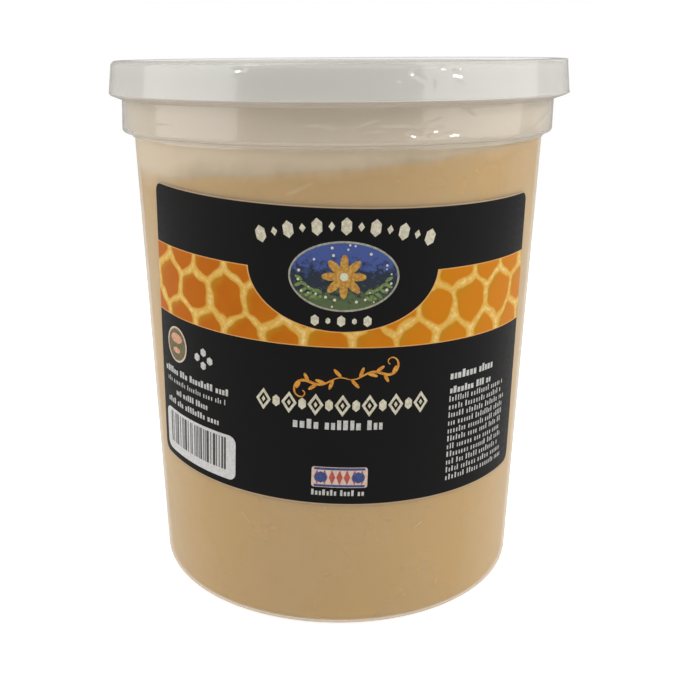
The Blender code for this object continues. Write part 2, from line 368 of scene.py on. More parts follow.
def honeyRise(x, y):
    ripple = math.sin(x / honey["rippleX"] * 2 * math.pi) * math.cos(y / honey["rippleY"] * 2 * math.pi)
    spread = noise.noise(Vector((x, y, 0)) * 90) * 0.5 + noise.noise(Vector((x, y, 3)) * 260) * 0.2
    return x * honey["tiltX"] + y * honey["tiltY"] + honey["ripple"] * ripple + spread * mm


def creamedHoney():  # fine crystals in honey: opaque, soft, with a wet sheen where it is free
    look = {"cream": "#C79E49", "deep": "#BA903C"}
    material, tree, shader = newMaterial("creamedHoneySet", {
        "Roughness": 0.45, "IOR": 1.5, "Subsurface Weight": 0.15,
        "Subsurface Radius": (1.0, 0.6, 0.3), "Subsurface Scale": 3 * mm})
    onPiece = addNode(tree, "TexCoord").outputs["Object"]
    cloud = addNode(tree, "TexNoise", {"Scale": 22.0, "Detail": 5.0, "Roughness": 0.55},
                    {"Vector": onPiece})
    blend = addNode(tree, "Mix", {**colourMix, 6: hexColour(look["deep"]), 7: hexColour(look["cream"])},
                    {0: cloud})
    tree.links.new(blend.outputs[2], shader.inputs["Base Color"])
    return material


def makeHoney():
    into = honey["intoWall"] - cup["wall"]
    corner = cup["corner"] + into
    edge = wallRadius(honey["level"]) + into / math.cos(cup["taper"])
    path = [(edge * i / honey["rings"], honey["level"]) for i in range(honey["rings"] + 1)]
    path += [(wallRadius(z) + into / math.cos(cup["taper"]), z) for z in (90 * mm, 60 * mm, 30 * mm)]
    path += arc(cornerCentre(), cup["corner"], corner, -1.9, -90, 8)
    floorZ = cup["recess"] + cup["wall"] - honey["intoWall"]
    path += [(cup["footInner"], cup["corner"] - corner), (cup["footInner"] - cup["footSlope"], floorZ),
             (0, floorZ)]
    piece = turnPath(path, cup["steps"])
    for vertex in piece.data.vertices:
        if vertex.co.z > honey["level"] - 0.1 * mm:
            rise = honeyRise(vertex.co.x, vertex.co.y)
            wider = 1 + rise * math.tan(cup["taper"]) / edge
            vertex.co = (vertex.co.x * wider, vertex.co.y * wider, vertex.co.z + rise)
    smooth(piece)
    return finishPiece(piece, "creamedHoney", creamedHoney(), "honey")


# The lid: a snap skirt round the rim and a sunk panel with a raised stacking disc
lid = {
    "wall": 0.85 * mm,
    "top": 136.25 * mm,
    "topRadius": 57.5 * mm,
    "edge": 1.0 * mm,
    "skirtRadius": 58.3 * mm,
    "plugTop": 52.6 * mm,
    "plugBottom": 52.0 * mm,
    "panel": 131.4 * mm,
    "disc": 132.4 * mm,
    "discRadius": 42.2 * mm,
    "fillet": 0.6 * mm,
}
lid["skirtBottom"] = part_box("lid")[0].z


def whitePolyethylene():
    look = {"white": "#FAFBF9", "shade": "#F5F6F3", "glow": "#F3EDE2", "through": 0.42}
    material, tree, shader = newMaterial("mouldedPolyethyleneWhite", {"Roughness": 0.34, "IOR": 1.51})
    onPiece = addNode(tree, "TexCoord").outputs["Object"]
    cloud = addNode(tree, "TexNoise", {"Scale": 30.0, "Detail": 3.0}, {"Vector": onPiece})
    blend = addNode(tree, "Mix", {**colourMix, 6: hexColour(look["shade"]), 7: hexColour(look["white"])},
                    {0: cloud})
    tree.links.new(blend.outputs[2], shader.inputs["Base Color"])
    glow = addNode(tree, "BsdfTranslucent", {"Color": hexColour(look["glow"])})
    body = addNode(tree, "MixShader", {"Fac": look["through"]}, {1: shader, 2: glow})
    tree.links.new(body.outputs["Shader"], tree.nodes["Material Output"].inputs["Surface"])
    return material


def makeLid():
    step = lid["disc"] - lid["panel"]
    fillet = lid["fillet"]
    path = [(0, lid["disc"]), (lid["discRadius"], lid["disc"]),
            (lid["discRadius"] + step, lid["panel"])]
    path += arc(lid["plugBottom"] - fillet, lid["panel"] + fillet, fillet, -90, 0, 4)
    path += arc(lid["plugTop"] + fillet, lid["top"] - fillet, fillet, 180, 90, 4)
    path += arc(lid["topRadius"] - lid["edge"], lid["top"] - lid["edge"], lid["edge"], 90, 0, 6)
    path += [(lid["skirtRadius"], lid["skirtBottom"] + 0.1 * mm)]
    piece = turnPath(path, cup["steps"], lid["wall"])
    smooth(piece)
    return finishPiece(piece, "snapLid", whitePolyethylene(), "lid")


# The label: a satin wrap on the cone, a little askew; its print is laid on it in thin slabs of ink
# Its sizes are in mm on the flat label, x to the right and y up from the middle of the print
label = {
    "width": 109.65,
    "height": 72.05,
    "filmX": -0.48,  # where the film's own middle is
    "filmY": -0.22,
    "spread": 0.048,  # how much wider the foot is than the top
    "bow": 0.63,  # how far the ends rise
    "middle": 70.62,  # slope distance from the tub's foot to the print's middle
    "corner": 2.6,
    "turn": math.radians(1.952),
    "skew": math.radians(-1.571),
    "facet": 1.5,
    "under": 0.02,
    "thick": 0.12,
    "ink": 0.03,
}


def labelPoint(across, up, lift):  # where a point of the flat label lands on the tub, mm to metres
    slope = cup["taper"]
    apex = cup["baseRadius"] / mm / math.sin(slope)
    wider = 1 - label["spread"] * up / label["height"]
    up += label["bow"] * (2 * across / label["width"]) ** 2
    across *= wider
    x = across * math.cos(label["skew"]) - up * math.sin(label["skew"])
    y = across * math.sin(label["skew"]) + up * math.cos(label["skew"]) + label["middle"] + apex
    reach = math.hypot(x, y)
    turn = math.atan2(x, y) / math.sin(slope) + label["turn"]
    radius = reach * math.sin(slope) + lift
    height = (reach - apex) * math.cos(slope)
    return Vector((radius * math.sin(turn), -radius * math.cos(turn), height)) * mm


def startTiles():  # an empty mesh in edit mode, for flat shapes one unit to the mm
    deselect()
    bpy.ops.mesh.primitive_plane_add(size=1)
    piece = bpy.context.object
    bpy.ops.object.mode_set(mode="EDIT")
    bpy.ops.mesh.select_all(action="SELECT")
    bpy.ops.mesh.delete(type="VERT")
    return piece


def addTile(x, y, width, height, sides=0, turn=0.0, rounded=0.0):
    if not sides:
        bpy.ops.mesh.primitive_plane_add(size=1, location=(x, y, 0))
    else:
        bpy.ops.mesh.primitive_circle_add(vertices=sides, radius=0.5, fill_type="NGON", location=(x, y, 0))
    bpy.ops.transform.resize(value=(width, height, 1), center_override=(x, y, 0))
    if turn:
        bpy.ops.transform.rotate(value=math.radians(turn), orient_axis="Z", center_override=(x, y, 0))
    if rounded:
        bpy.ops.mesh.bevel(offset=rounded, segments=5, affect="VERTICES")


def addRing(x, y, width, height, wall, sides):
    addTile(x, y, width, height, sides=sides)
    bpy.ops.mesh.inset(thickness=wall)
    bpy.ops.mesh.delete(type="FACE")


def wrapTiles(piece, name, material, layer=0, base=False):  # cut into the label's facets and laid on it
    piece.update_from_editmode()
    xs = [vertex.co.x for vertex in piece.data.vertices]
    facet = label["facet"]
    for i in range(math.ceil(min(xs) / facet), math.floor(max(xs) / facet) + 1):
        bpy.ops.mesh.select_all(action="SELECT")
        bpy.ops.mesh.bisect(plane_co=(i * facet, 0, 0), plane_no=(1, 0, 0))
    bpy.ops.object.mode_set(mode="OBJECT")
    lift = label["under"] if base else label["under"] + label["thick"] + layer * label["ink"]
    thick = label["thick"] if base else label["ink"]
    plane = piece.data.uv_layers.new(name="labelPlane")
    for loop in piece.data.loops:
        place = piece.data.vertices[loop.vertex_index].co
        plane.data[loop.index].uv = (place.x / label["width"] + 0.5, place.y / label["height"] + 0.5)
    for vertex in piece.data.vertices:
        vertex.co = labelPoint(vertex.co.x, vertex.co.y, lift)
    applyModifier(piece, "SOLIDIFY", {"thickness": thick * mm, "offset": 1})
    smooth(piece, 30)
    return finishPiece(piece, name, material, "label" if base else None)


comb = {
    "low": 3.5,
    "high": 21.2,
    "pitch": 10.2,
    "wall": 0.85,  # half a wax wall
    "cornerSoft": 1.6,
    "thinning": 0.25,  # how much thicker or thinner the walls get
    "shift": (1.5, 12.6),
    "lobe": (-0.8, 21.9),
    "lobeSize": (22.5, 14.5),
    "wobble": 2.6,
    "deep": "#B9620E",
    "bright": "#C97A12",
    "amber": "#B5821C",
    "wax": "#D8A84A",
    "waxPale": "#E9CF8E",
    "line": "#DDA566",
}


def hexDistance(tree, place):  # how far from a cell's middle, and on which side of it
    pitch = comb["pitch"]
    cell = Vector((pitch, pitch * math.sqrt(3), 1))
    found = []
    for half in (Vector((0, 0, 0)), cell / 2):
        moved = addNode(tree, "VectorMath", {"operation": "SUBTRACT", 1: half}, {0: place})
        wrapped = addNode(tree, "VectorMath", {"operation": "WRAP", 1: cell / 2, 2: -cell / 2},
                          {0: moved})
        size = addNode(tree, "VectorMath", {"operation": "ABSOLUTE"}, {0: wrapped})
        flat = addNode(tree, "VectorMath", {"operation": "DOT_PRODUCT", 1: (1, 0, 0)}, {0: size})
        slant = addNode(tree, "VectorMath", {"operation": "DOT_PRODUCT", 1: (0.5, math.sqrt(0.75), 0)},
                        {0: size})
        reach = addNode(tree, "Math", {"operation": "SMOOTH_MAX", 2: comb["cornerSoft"]},
                        {0: flat.outputs["Value"], 1: slant.outputs["Value"]})
        found.append((reach, wrapped))
    nearest = addNode(tree, "Math", {"operation": "MINIMUM"}, {0: found[0][0], 1: found[1][0]})
    first = addNode(tree, "Math", {"operation": "LESS_THAN"}, {0: found[0][0], 1: found[1][0]})
    side = addNode(tree, "Mix", {"data_type": "VECTOR"}, {0: first, 4: found[1][1], 5: found[0][1]})
    return nearest, side


def combColours(tree, place, axes, grain, patches):  # cells that lighten to the right, between wax walls
    wander = addNode(tree, "TexNoise", {"Scale": 0.085, "Detail": 2.0}, {"Vector": place})
    centred = addNode(tree, "VectorMath", {"operation": "SUBTRACT", 1: (0.5, 0.5, 0.5)},
                      {0: wander.outputs["Color"]})
    pushed = addNode(tree, "VectorMath", {"operation": "SCALE", "Scale": comb["wobble"] * 2},
                     {0: centred})
    bent = addNode(tree, "VectorMath", {"operation": "ADD"}, {0: place, 1: pushed})
    placed = addNode(tree, "VectorMath", {"operation": "SUBTRACT", 1: (*comb["shift"], 0)}, {0: bent})
    reach, side = hexDistance(tree, placed)
    thinning = addNode(tree, "MapRange", {**smoothStep, 1: 0.35, 2: 0.65, 3: -comb["thinning"],
                       4: comb["thinning"]}, {0: patches})
    depth = addNode(tree, "Math", {"operation": "ADD"}, {0: reach, 1: thinning})
    edge = comb["pitch"] / 2 - comb["wall"]
    inside = addNode(tree, "MapRange", {**smoothStep, 1: edge - 0.35, 2: edge + 0.3, 3: 1.0, 4: 0.0},
                     {0: depth})
    across = addNode(tree, "MapRange", {**smoothStep, 1: -40.0, 2: 40.0}, {0: axes.outputs["X"]})
    tone = addNode(tree, "Math", {"operation": "MULTIPLY_ADD", 1: 0.7}, {0: patches, 2: across})
    lighter = addNode(tree, "MapRange", {**smoothStep, 1: 0.15, 2: 1.25}, {0: tone})
    honeyTone = addNode(tree, "Mix", {**colourMix, 6: hexColour(comb["deep"]),
                        7: hexColour(comb["bright"])}, {0: lighter})
    lean = addNode(tree, "VectorMath", {"operation": "DOT_PRODUCT", 1: (-0.85, 0.5, 0)},
                   {0: side.outputs[1]})
    leftSide = addNode(tree, "MapRange", {**smoothStep, 1: 0.6, 2: 3.6}, {0: lean.outputs["Value"]})
    nearWall = addNode(tree, "MapRange", {**smoothStep, 1: 2.2, 2: 4.2}, {0: depth})
    corner = addNode(tree, "Math", {"operation": "MULTIPLY"}, {0: leftSide, 1: nearWall})
    shaded = addNode(tree, "Math", {"operation": "MULTIPLY", 1: 0.75}, {0: corner})
    cellTone = addNode(tree, "Mix", {**colourMix, 7: hexColour(comb["amber"])},
                       {0: shaded, 6: honeyTone.outputs[2]})
    intoWax = addNode(tree, "MapRange", {**smoothStep, 1: 4.2, 2: 6.2, 3: -0.1, 4: 0.35}, {0: depth})
    grained = addNode(tree, "Math", {"operation": "ADD"}, {0: grain, 1: intoWax})
    paler = addNode(tree, "MapRange", {**smoothStep, 1: 0.4, 2: 0.85}, {0: grained})
    waxTone = addNode(tree, "Mix", {**colourMix, 6: hexColour(comb["wax"]),
                      7: hexColour(comb["waxPale"])}, {0: paler})
    return addNode(tree, "Mix", colourMix, {0: inside, 6: waxTone.outputs[2],
                   7: cellTone.outputs[2]}).outputs[2]


def outsideBand(tree, place, axes):  # mm outside the comb band or into the lobe, below zero on the comb
    fromMiddle = addNode(tree, "Math", {"operation": "SUBTRACT", 1: (comb["low"] + comb["high"]) / 2},
                         {0: axes.outputs["Y"]})
    size = addNode(tree, "Math", {"operation": "ABSOLUTE"}, {0: fromMiddle})
    fromBand = addNode(tree, "Math", {"operation": "SUBTRACT", 1: (comb["high"] - comb["low"]) / 2},
                       {0: size})
    lobe = addNode(tree, "Mapping", {"vector_type": "TEXTURE", "Location": (*comb["lobe"], 0),
                   "Scale": (*comb["lobeSize"], 1)}, {"Vector": place})
    fromLobe = addNode(tree, "VectorMath", {"operation": "LENGTH"}, {0: lobe})
    inward = addNode(tree, "Math", {"operation": "SUBTRACT", 0: 1.0}, {1: fromLobe.outputs["Value"]})
    intoLobe = addNode(tree, "Math", {"operation": "MULTIPLY", 1: comb["lobeSize"][1]}, {0: inward})
    return addNode(tree, "Math", {"operation": "MAXIMUM"}, {0: fromBand, 1: intoLobe})


def filmRim(tree, place, edgeWidth):  # the cut edge of the white film under the print
    corner = label["corner"]
    onFilm = addNode(tree, "VectorMath", {"operation": "SUBTRACT",
                     1: (label["filmX"], label["filmY"], 0)}, {0: place})
    size = addNode(tree, "VectorMath", {"operation": "ABSOLUTE"}, {0: onFilm})
    past = addNode(tree, "VectorMath", {"operation": "SUBTRACT",
                   1: (label["width"] / 2 - corner, label["height"] / 2 - corner, 0)}, {0: size})
    kept = addNode(tree, "VectorMath", {"operation": "MAXIMUM", 1: (0, 0, 0)}, {0: past})
    fromCorner = addNode(tree, "VectorMath", {"operation": "LENGTH"}, {0: kept})
    middle = corner - edgeWidth
    return addNode(tree, "MapRange", {**smoothStep, 1: middle - 0.05, 2: middle + 0.05},
                   {0: fromCorner.outputs["Value"]})


def printedLabelFilm():  # gravure print on white film: satin black, a honeycomb band and a black lobe
    look = {"black": "#171616", "edge": "#B59F83", "edgeWidth": 0.28, "rough": 0.38, "uneven": 0.05}
    material, tree, shader = newMaterial("printedLabelFilm", {
        "Roughness": look["rough"], "Specular IOR Level": 0.06, "IOR": 1.5})
    flat = addNode(tree, "UVMap", {"uv_map": "labelPlane"})
    place = addNode(tree, "Mapping", {"Location": (-label["width"] / 2, -label["height"] / 2, 0),
                    "Scale": (label["width"], label["height"], 1)}, {"Vector": flat})
    axes = addNode(tree, "SeparateXYZ", {}, {0: place})
    grain = addNode(tree, "TexNoise", {"Scale": 0.9, "Detail": 4.0, "Roughness": 0.6}, {"Vector": place})
    patches = addNode(tree, "TexNoise", {"Scale": 0.16, "Detail": 2.0}, {"Vector": place})
    printed = combColours(tree, place, axes, grain, patches)
    outside = outsideBand(tree, place, axes)
    for start, end, colour in ((-0.34, -0.12, comb["line"]), (-0.08, 0.02, look["black"])):
        cover = addNode(tree, "MapRange", {**smoothStep, 1: start, 2: end}, {0: outside})
        printed = addNode(tree, "Mix", {**colourMix, 7: hexColour(colour)},
                          {0: cover, 6: printed}).outputs[2]
    whole = addNode(tree, "Mix", {**colourMix, 7: hexColour(look["edge"])},
                    {0: filmRim(tree, place, look["edgeWidth"]), 6: printed})
    tree.links.new(whole.outputs[2], shader.inputs["Base Color"])
    sheen = addNode(tree, "MapRange", {**smoothStep, 1: 0.3, 2: 0.7, 3: look["rough"] - look["uneven"],
                    4: look["rough"] + look["uneven"]}, {0: grain})
    tree.links.new(sheen.outputs["Result"], shader.inputs["Roughness"])
    return material


def printedInk(name, code, second):  # gravure ink, a little mottled
    material, tree, shader = newMaterial(name, {
        "Roughness": 0.42, "Specular IOR Level": 0.25, "IOR": 1.5})
    onPiece = addNode(tree, "TexCoord").outputs["Object"]
    mottle = addNode(tree, "TexNoise", {"Scale": 1400.0, "Detail": 2.0}, {"Vector": onPiece})
    patchy = addNode(tree, "MapRange", {**smoothStep, 1: 0.35, 2: 0.65}, {0: mottle})
    blend = addNode(tree, "Mix", {**colourMix, 6: hexColour(code), 7: hexColour(second)}, {0: patchy})
    tree.links.new(blend.outputs[2], shader.inputs["Base Color"])
    return material


def makeLabel():
    piece = startTiles()
    addTile(label["filmX"], label["filmY"], label["width"], label["height"], rounded=label["corner"])
    wrapTiles(piece, "wrappedLabel", printedLabelFilm(), base=True)


# Ornament on the label: a curved frieze, a row of cells, and small block lines
frieze = {"middle": (-0.5, 31.6), "radius": 70.0, "step": 2.72, "cell": (2.7, 4.0), "bead": (1.5, 2.1)}
row = {"left": -18.7, "step": 3.12, "y": -10.6, "diamond": (3.7, 5.5), "wall": 0.62, "cell": (2.0, 3.0)}
foot = {"middle": (-1.0, 9.9), "step": 3.0, "cell": (2.1, 2.7), "bead": (1.2, 1.5)}
cream, creamShade = "#D6D0BC", "#BDB59C"


def makeOrnament():
    piece = startTiles()
    for i in range(-6, 7):  # hexagons and beads on an arc
        turn = math.radians(i * frieze["step"])
        x = frieze["middle"][0] + frieze["radius"] * math.sin(turn)
        y = frieze["middle"][1] - frieze["radius"] * (1 - math.cos(turn))
        wide, tall = frieze["bead" if i % 2 else "cell"]
        addTile(x, y, wide, tall, sides=4 if i % 2 else 6, turn=i * frieze["step"])
    for i in range(13):  # diamonds with a hexagon between each two
        x = row["left"] + i * row["step"]
        if i % 2:
            addTile(x, row["y"], *row["cell"], sides=6)
        else:
            addRing(x, row["y"], *row["diamond"], row["wall"], sides=4)
            addTile(x, row["y"], 0.9, 1.5, sides=4)
    for i in range(-2, 3):
        addTile(foot["middle"][0] + i * foot["step"], foot["middle"][1],
                *foot["bead" if i % 2 else "cell"], sides=6)
    wrapTiles(piece, "labelFrieze", printedInk("creamGravureInk", cream, creamShade))


def blockLine(draw, left, right, low, tall, weight):  # a line of small uneven blocks
    x = left
    while x < right:
        for letter in range(draw.randint(3, 8)):
            wide = tall * draw.uniform(0.5, 0.72)
            if x + wide > right:
                return
            high = tall * draw.choice((0.72, 0.72, 1.0))
            addTile(x + wide * weight / 2, low + high / 2, wide * weight, high)
            x += wide
        x += tall * 0.4


fineLines = {
    "left": [(-52.6, -27.6, -12.2, 1.75, 0.68), (-51.6, -28.6, -14.7, 1.35, 0.4),
             (-47.3, -33.7, -17.7, 1.6, 0.62), (-51.6, -29.6, -20.6, 1.6, 0.62)],
    "right": [(26.8, 41.9, -6.3, 2.0, 0.7), (26.9, 42.0, -9.9, 1.75, 0.7)],
    "columnLeft": 26.8,
    "columnRight": 49.4,
    "columnTop": -11.97,
    "columnStep": 2.07,
    "columnLines": 11,
    "columnTall": 1.45,
    "middleLine": (-11.4, 11.0, -16.7, 2.4, 0.66),
    "badgeLine": (-6.6, 6.5, -33.8, 1.5, 0.6),
}


def makeFinePrint():
    draw = random.Random(11)
    piece = startTiles()
    for values in fineLines["left"] + fineLines["right"]:
        blockLine(draw, *values)
    for i in range(fineLines["columnLines"]):
        right = fineLines["columnRight"] - draw.uniform(0, 1.8)
        low = fineLines["columnTop"] - i * fineLines["columnStep"]
        blockLine(draw, fineLines["columnLeft"], right, low, fineLines["columnTall"], 0.42)
    blockLine(draw, *fineLines["middleLine"])
    blockLine(draw, *fineLines["badgeLine"])
    for x, y in ((-38.3, -4.6), (-34.0, -4.6), (-36.15, -2.9), (-36.15, -6.3)):
        addTile(x, y, 2.0, 2.2, sides=6)
    wrapTiles(piece, "labelFinePrint", printedInk("whiteGravureInk", "#C9C8C4", "#B4B3AE"))


barPanel = {"left": -53.0, "right": -26.0, "low": -34.3, "high": -22.4, "corner": 2.0,
            "barLeft": -50.6, "barRight": -29.0, "barLow": -31.9, "barHigh": -23.2}


def makeBarPanel():
    piece = startTiles()
    left, right, low, high = (barPanel[key] for key in ("left", "right", "low", "high"))
    addTile((left + right) / 2, (low + high) / 2, right - left, high - low, rounded=barPanel["corner"])
    wrapTiles(piece, "labelBarPanel", printedInk("paleGravureInk", "#D3D1CF", "#C6C4C2"))
    draw = random.Random(5)
    piece = startTiles()
    x = barPanel["barLeft"]
    while x < barPanel["barRight"]:
        wide = draw.choice((0.27, 0.27, 0.54, 0.81))
        addTile(x + wide / 2, (barPanel["barLow"] + barPanel["barHigh"]) / 2, wide,
                barPanel["barHigh"] - barPanel["barLow"])
        x += wide + draw.choice((0.3, 0.3, 0.55, 0.8))
    wrapTiles(piece, "labelBars", printedInk("greyGravureInk", "#3B3A39", "#4A4947"), layer=1)


medallion = {"x": -0.7, "y": 20.2, "width": 25.4, "height": 16.2, "rim": 0.45, "petals": 8,
             "leaves": 5, "sky": "#41538F", "night": "#232B38", "grass": "#53613C"}


def medallionField():  # blue above, dark between and green below, in soft printed patches
    material, tree, shader = newMaterial("blueGreenGravureInk", {
        "Roughness": 0.42, "Specular IOR Level": 0.25, "IOR": 1.5})
    flat = addNode(tree, "UVMap", {"uv_map": "labelPlane"})
    place = addNode(tree, "Mapping", {"Scale": (label["width"], label["height"], 1)}, {"Vector": flat})
    axes = addNode(tree, "SeparateXYZ", {}, {0: place})
    patches = addNode(tree, "TexNoise", {"Scale": 0.8, "Detail": 4.0, "Roughness": 0.65},
                      {"Vector": place})
    uneven = addNode(tree, "MapRange", {**smoothStep, 1: 0.25, 2: 0.75, 3: -3.0, 4: 3.0}, {0: patches})
    height = addNode(tree, "Math", {"operation": "ADD"}, {0: axes.outputs["Y"], 1: uneven})
    middle = medallion["y"] + label["height"] / 2
    skyward = addNode(tree, "MapRange", {**smoothStep, 1: middle, 2: middle + 4}, {0: height})
    upper = addNode(tree, "Mix", {**colourMix, 6: hexColour(medallion["night"]),
                    7: hexColour(medallion["sky"])}, {0: skyward})
    downward = addNode(tree, "MapRange", {**smoothStep, 1: middle - 2, 2: middle - 6}, {0: height})
    whole = addNode(tree, "Mix", {**colourMix, 7: hexColour(medallion["grass"])},
                    {0: downward, 6: upper.outputs[2]})
    tree.links.new(whole.outputs[2], shader.inputs["Base Color"])
    return material


def makeMedallion():
    x, y = medallion["x"], medallion["y"]
    wide, tall, rim = medallion["width"], medallion["height"], medallion["rim"]
    piece = startTiles()
    addTile(x, y, wide, tall, sides=64)
    wrapTiles(piece, "medallionRim", printedInk("greyCreamGravureInk", "#A9A796", "#8E8C7C"))
    piece = startTiles()
    addTile(x, y, wide - 2 * rim, tall - 2 * rim, sides=64)
    wrapTiles(piece, "medallionField", medallionField(), layer=1)
    piece = startTiles()
    for i in range(medallion["petals"]):  # a plain rosette
        turn = 2 * math.pi * i / medallion["petals"]
        addTile(x + 2.9 * math.sin(turn), y + 2.9 * math.cos(turn), 1.9, 4.4, sides=14,
                turn=math.degrees(turn))
    wrapTiles(piece, "medallionRosette", printedInk("goldGravureInk", "#C79A4A", "#A9762B"), layer=2)
    piece = startTiles()
    for side in (-1, 1):
        for i in range(medallion["leaves"]):
            reach = 5.4 + i * 1.15
            rise = -4.2 + 0.18 * i * i
            for flip in (-1, 1):
                addTile(x + side * (reach + 0.3), y + rise + flip * 0.75, 0.8, 2.0, sides=10,
                        turn=side * (62 if flip > 0 else 118))
    wrapTiles(piece, "medallionLeaves", printedInk("greenGravureInk", "#7C8F55", "#5C6F3D"), layer=2)
    piece = startTiles()
    draw = random.Random(3)
    for i in range(26):  # small pale spots on the blue and the green
        turn = draw.uniform(0, 2 * math.pi)
        far = draw.uniform(0.62, 0.9)
        size = draw.uniform(0.35, 0.75)
        addTile(x + wide / 2 * far * math.cos(turn), y + tall / 2 * far * math.sin(turn), size, size,
                sides=8)
    addTile(x, y, 1.9, 1.9, sides=16)
    wrapTiles(piece, "medallionSpots", printedInk("paleYellowGravureInk", "#D8D3B0", "#C8C7BC"), layer=3)


badge = {"x": -0.1, "y": -29.0, "width": 13.1, "height": 5.3}
roundBadge = {"x": -46.6, "y": -3.8, "width": 8.6, "height": 9.4}


def makeBadges():
    x, y, wide, tall = (badge[key] for key in ("x", "y", "width", "height"))
    leftX, leftY, leftWide, leftTall = (roundBadge[key] for key in ("x", "y", "width", "height"))
    piece = startTiles()
    addTile(x, y, wide, tall, rounded=0.6)
    addTile(leftX, leftY, leftWide, leftTall, sides=40)
    wrapTiles(piece, "badgeGround", printedInk("blushGravureInk", "#D9C3B4", "#CDB3A2"))
    piece = startTiles()
    for i in range(-3, 4):
        addTile(x + i * 1.75, y, 1.5, 3.9, sides=4)
    wrapTiles(piece, "badgeDiamonds", printedInk("redGravureInk", "#B4584C", "#A94B40"), layer=1)
    piece = startTiles()
    for i in (-1, 1):
        addTile(x, y + i * (tall / 2 - 0.45), wide - 1.2, 0.55)
        addTile(x + i * 4.4, y, 3.2, 3.0, sides=6)
    wrapTiles(piece, "badgeBlue", printedInk("blueGravureInk", "#3A4F86", "#324475"), layer=2)
    piece = startTiles()
    addTile(leftX, leftY, leftWide - 1, leftTall - 1, sides=40)
    wrapTiles(piece, "badgeOlive", printedInk("oliveGravureInk", "#6F6845", "#5C5638"), layer=1)
    piece = startTiles()
    addTile(leftX, leftY + 1.7, 4.8, 2.6, sides=24)
    addTile(leftX, leftY - 1.5, 3.2, 1.5, sides=24)
    wrapTiles(piece, "badgePeach", printedInk("peachGravureInk", "#D9A585", "#C98F6C"), layer=2)


# A gold vine of one thick and thin stroke, curled at both ends, with leaves on both sides
vine = {"x": 0.7, "y": -3.9, "reach": 19.0, "straight": 9.5, "lean": -0.3, "wave": -0.3, "curl": 0.17,
        "tight": 1.4, "step": 0.12, "thin": 0.12, "thick": 0.34, "leafEvery": 2.1, "leafLong": 2.9}


def vinePath():  # from the middle to the right end, as places and headings
    x = y = 0.0
    heading = vine["lean"]
    path = []
    for i in range(int(vine["reach"] / vine["step"])):
        along = i * vine["step"]
        past = max(0.0, along - vine["straight"]) / (vine["reach"] - vine["straight"])
        bend = -vine["wave"] * math.sin(2 * math.pi * along / vine["straight"] + 0.5) * (1 - past)
        heading += (bend + (vine["curl"] + vine["tight"] * past ** 2) * (past > 0)) * vine["step"]
        x += math.cos(heading) * vine["step"]
        y += math.sin(heading) * vine["step"]
        path.append((x, y, heading, along))
    return path


def makeVine():
    half = vinePath()
    ink = printedInk("brightGoldGravureInk", "#D99A3C", "#C07A26")
    data = bpy.data.curves.new("labelVine", "CURVE")
    data.dimensions = "3D"
    data.bevel_depth = 1.0
    data.bevel_resolution = 2
    data.use_fill_caps = True
    spline = data.splines.new("POLY")
    whole = [(-x, -y, along) for x, y, heading, along in reversed(half)]
    whole += [(x, y, along) for x, y, heading, along in half]
    spline.points.add(len(whole) - 1)
    for point, (x, y, along) in zip(spline.points, whole):
        point.co = (vine["x"] + x, vine["y"] + y, 0, 1)
        stroke = math.sin(math.pi * along / vine["reach"]) ** 2
        point.radius = vine["thin"] + (vine["thick"] - vine["thin"]) * stroke
    piece = bpy.data.objects.new("labelVine", data)
    bpy.context.scene.collection.objects.link(piece)
    deselect()
    piece.select_set(True)
    bpy.context.view_layer.objects.active = piece
    bpy.ops.object.convert(target="MESH")
    piece = bpy.context.object
    lift = label["under"] + label["thick"] + label["ink"]
    for vertex in piece.data.vertices:
        place = vertex.co
        vertex.co = labelPoint(place.x, place.y, lift + place.z * 0.1)
    smooth(piece, 60)
    finishPiece(piece, "labelVine", ink)
    piece = startTiles()
    every = int(vine["leafEvery"] / vine["step"])
    for n, (x, y, heading, along) in enumerate(half[every // 2:int(13 / vine["step"]):every]):
        side = 1 if n % 2 else -1
        turn = heading + side * 0.75
        long = vine["leafLong"] * (1 - 0.45 * along / vine["reach"])
        for sign in (-1, 1):
            addTile(vine["x"] + sign * (x + long / 2 * math.cos(turn)),
                    vine["y"] + sign * (y + long / 2 * math.sin(turn)),
                    long, 0.85, sides=12, turn=-math.degrees(turn))
    wrapTiles(piece, "labelVineLeaves", ink, layer=1)


# The tamper film: shrunk over the lid's edge and down the shoulder, glossy, creased in places
film = {
    "wall": 0.1 * mm,
    "inner": 54.3 * mm,
    "topRadius": 58.17 * mm,
    "edge": 1.4 * mm,
    "skirt": 58.96 * mm,
    "skirtLow": 128.7 * mm,
    "shoulder": 55.5 * mm,
    "shoulderTop": 127.1 * mm,
    "corner": 1.0 * mm,
    "under": 119.4 * mm,
    "foot": 53.4 * mm,
    "footBend": 0.3 * mm,
    "row": 0.3 * mm,
    "steps": 540,
    "square": 0.75,  # how square the film draws the lid's edge on the right
    "pulledIn": 0.3 * mm,  # how much closer it lies to the lid on the left
    "pulledDown": 0.3 * mm,
    "tighter": 0.3 * mm,  # and to the shoulder on the right
    "higher": 0.4 * mm,
    "belled": 0.3 * mm,  # how much wider it is at the shoulder's foot on the left
    "fine": 0.025 * mm,  # fine waves all over it
    "in": 0.05 * mm,
    "round": 56,  # radius in mm that turns degrees into a length round it
}
